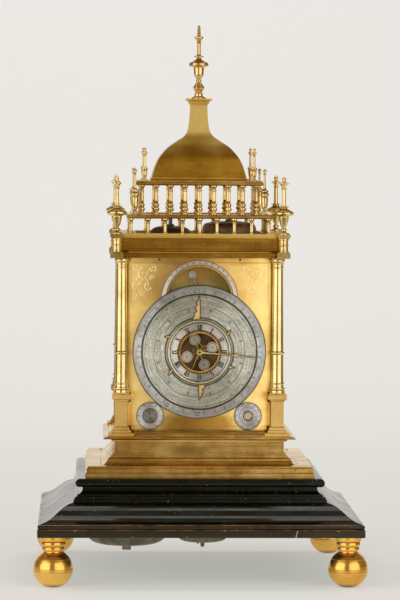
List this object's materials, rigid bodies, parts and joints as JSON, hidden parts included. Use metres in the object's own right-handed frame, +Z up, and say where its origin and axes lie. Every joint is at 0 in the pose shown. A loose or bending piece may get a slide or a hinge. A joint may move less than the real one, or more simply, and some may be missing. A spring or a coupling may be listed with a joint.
{
  "type": "tower table clock",
  "caption": "Gilt brass tower clock with corner columns, bell galleries, ogee roof and a geared astronomical dial, on an ebonised plinth with ball feet.",
  "frame": {"origin": "on the floor under the middle of the plinth", "axes": "+Z up, -Y out of the dial, +X to the right of a viewer who faces the dial"},
  "size_m": [0.3212, 0.2852, 0.5418],
  "materials": {
    "gilt_brass": "gilt and polished, slightly worn",
    "polished_brass": "gilt turned work",
    "silvered_brass": "silvered and engraved",
    "ebonised_wood": "black polish, glossy",
    "bell_bronze": "dark cast bell metal",
    "steel": "filed steel"
  },
  "bodies": {
    "case": {"plinth_slab": "ebonised_wood", "plinth_ogee": "ebonised_wood", "plinth_neck": "ebonised_wood", "plinth_board": "ebonised_wood", "ball_feet": "polished_brass", "gilt_base_lower": "gilt_brass", "gilt_base_upper": "gilt_brass", "tower_floor": "gilt_brass", "base_skirt": "polished_brass", "pedestals": "polished_brass", "columns": "polished_brass", "corner_angles": "gilt_brass", "dial_plate": "gilt_brass", "back_plate": "gilt_brass", "hinge_pins": "polished_brass", "entablature": "gilt_brass", "corner_drums": "polished_brass", "corner_finials": "polished_brass", "bell_floor": "gilt_brass", "lower_balusters": "polished_brass", "middle_rail": "polished_brass", "upper_balusters": "polished_brass", "gallery_finials": "polished_brass", "eave_plate": "gilt_brass", "dome": "gilt_brass", "dome_cap": "gilt_brass", "top_finial": "gilt_brass", "hour_bell": "bell_bronze", "quarter_bell": "bell_bronze", "bell_posts": "steel", "base_bells": "bell_bronze", "date_ring": "silvered_brass", "plate_rings": "silvered_brass", "hour_ring": "silvered_brass", "arch_ground": "gilt_brass", "movement_plates": "gilt_brass"},
    "left_door": {"left_door": "gilt_brass"},
    "right_door": {"right_door": "gilt_brass"},
    "left_latch": {"left_latch": "polished_brass"},
    "right_latch": {"right_latch": "polished_brass"},
    "hour_hammer": {"hour_hammer": "steel"},
    "quarter_hammer": {"quarter_hammer": "steel"},
    "calendar_disc": {"calendar_disc": "silvered_brass"},
    "pointer_ring": {"pointer_ring": "polished_brass"},
    "aspect_wheel": {"aspect_wheel": "polished_brass", "roundels": "silvered_brass"},
    "main_hand": {"main_hand": "polished_brass"},
    "thin_hand": {"thin_hand": "polished_brass"},
    "moon_pointer": {"moon_pointer": "silvered_brass"},
    "age_disc": {"age_disc": "silvered_brass"},
    "alarm_hand": {"alarm_hand": "polished_brass"},
    "going_barrel": {"going_barrel": "gilt_brass"},
    "fusee": {"fusee": "gilt_brass"},
    "second_wheel": {"second_wheel": "gilt_brass"},
    "third_wheel": {"third_wheel": "gilt_brass"},
    "crown_wheel": {"crown_wheel": "gilt_brass"},
    "balance": {"balance": "steel"},
    "strike_barrel": {"strike_barrel": "gilt_brass"},
    "pin_wheel": {"pin_wheel": "gilt_brass"},
    "fly": {"fly": "gilt_brass"}
  },
  "joints": [
    {"name": "left_door_hinge", "type": "hinge", "parent": "case", "child": "left_door", "pos_m": [-0.0742, 0.0496, 0.2211], "axis": [0, 0, -1], "range_deg": [0, 85]},
    {"name": "right_door_hinge", "type": "hinge", "parent": "case", "child": "right_door", "pos_m": [0.0742, 0.0496, 0.2211], "axis": [0, 0, 1], "range_deg": [0, 85]},
    {"name": "left_latch_turn", "type": "hinge", "parent": "left_door", "child": "left_latch", "pos_m": [-0.0728, -0.034, 0.2211], "axis": [1, 0, 0], "range_deg": [0, 90]},
    {"name": "right_latch_turn", "type": "hinge", "parent": "right_door", "child": "right_latch", "pos_m": [0.0728, -0.034, 0.2211], "axis": [1, 0, 0], "range_deg": [0, 90]},
    {"name": "hour_hammer_turn", "type": "hinge", "parent": "case", "child": "hour_hammer", "pos_m": [-0.002, 0.034, 0.3266], "axis": [0, 0, -1], "range_deg": [0, 25]},
    {"name": "quarter_hammer_turn", "type": "hinge", "parent": "case", "child": "quarter_hammer", "pos_m": [0, -0.034, 0.3266], "axis": [0, 0, -1], "range_deg": [0, 25]},
    {"name": "second_turn", "type": "hinge", "parent": "case", "child": "second_wheel", "pos_m": [0.02257, 0, 0.22927], "axis": [0, 1, 0], "continuous": true},
    {"name": "going_barrel_turn", "type": "hinge", "parent": "case", "child": "going_barrel", "pos_m": [0.02398, 0, 0.16281], "axis": [0, 1, 0], "continuous": true},
    {"name": "fusee_turn", "type": "hinge", "parent": "case", "child": "fusee", "pos_m": [0.028, 0, 0.2018], "axis": [0, 1, 0], "continuous": true},
    {"name": "third_turn", "type": "hinge", "parent": "case", "child": "third_wheel", "pos_m": [0.00799, 0, 0.24628], "axis": [0, 1, 0], "continuous": true},
    {"name": "crown_turn", "type": "hinge", "parent": "case", "child": "crown_wheel", "pos_m": [-0.01001, 0, 0.25748], "axis": [0, 1, 0], "continuous": true},
    {"name": "balance_swing", "type": "hinge", "parent": "case", "child": "balance", "pos_m": [-0.01001, -0.0105, 0.25748], "axis": [0, 0, 1], "range_deg": [-45, 45]},
    {"name": "calendar_turn", "type": "hinge", "parent": "case", "child": "calendar_disc", "pos_m": [0, 0, 0.2211], "axis": [0, 1, 0], "continuous": true},
    {"name": "pointer_turn", "type": "hinge", "parent": "case", "child": "pointer_ring", "pos_m": [0, 0, 0.2211], "axis": [0, 1, 0], "continuous": true},
    {"name": "aspect_turn", "type": "hinge", "parent": "case", "child": "aspect_wheel", "pos_m": [0, 0, 0.2211], "axis": [0, 1, 0], "continuous": true},
    {"name": "thin_hand_turn", "type": "hinge", "parent": "case", "child": "thin_hand", "pos_m": [0, 0, 0.2211], "axis": [0, 1, 0], "continuous": true},
    {"name": "main_hand_turn", "type": "hinge", "parent": "case", "child": "main_hand", "pos_m": [0, 0, 0.2211], "axis": [0, 1, 0], "continuous": true},
    {"name": "moon_pointer_turn", "type": "hinge", "parent": "case", "child": "moon_pointer", "pos_m": [0, -0.053, 0.2731], "axis": [0, 1, 0], "range_deg": [-50, 80]},
    {"name": "age_disc_turn", "type": "hinge", "parent": "case", "child": "age_disc", "pos_m": [-0.048, -0.053, 0.1584], "axis": [0, 1, 0], "continuous": true},
    {"name": "alarm_hand_turn", "type": "hinge", "parent": "case", "child": "alarm_hand", "pos_m": [0.048, -0.053, 0.1584], "axis": [0, 1, 0], "continuous": true},
    {"name": "pin_wheel_turn", "type": "hinge", "parent": "case", "child": "pin_wheel", "pos_m": [-0.03403, 0, 0.18781], "axis": [0, 1, 0], "continuous": true},
    {"name": "strike_barrel_turn", "type": "hinge", "parent": "case", "child": "strike_barrel", "pos_m": [-0.022, 0, 0.1642], "axis": [0, 1, 0], "continuous": true},
    {"name": "fly_turn", "type": "hinge", "parent": "case", "child": "fly", "pos_m": [-0.0307, 0, 0.20672], "axis": [0, 1, 0], "continuous": true}
  ],
  "couplings": [
    {"joint": "second_turn", "follows": "fusee_turn", "ratio": -6},
    {"joint": "going_barrel_turn", "follows": "fusee_turn", "ratio": 1},
    {"joint": "calendar_turn", "follows": "fusee_turn", "ratio": 1.2},
    {"joint": "pointer_turn", "follows": "fusee_turn", "ratio": 1.3846},
    {"joint": "aspect_turn", "follows": "fusee_turn", "ratio": 1.5789},
    {"joint": "thin_hand_turn", "follows": "fusee_turn", "ratio": 1.7838},
    {"joint": "main_hand_turn", "follows": "fusee_turn", "ratio": 2},
    {"joint": "third_turn", "follows": "fusee_turn", "ratio": 36},
    {"joint": "crown_turn", "follows": "fusee_turn", "ratio": -202.5},
    {"joint": "pin_wheel_turn", "follows": "strike_barrel_turn", "ratio": -5.625},
    {"joint": "fly_turn", "follows": "strike_barrel_turn", "ratio": 28.125}
  ]
}
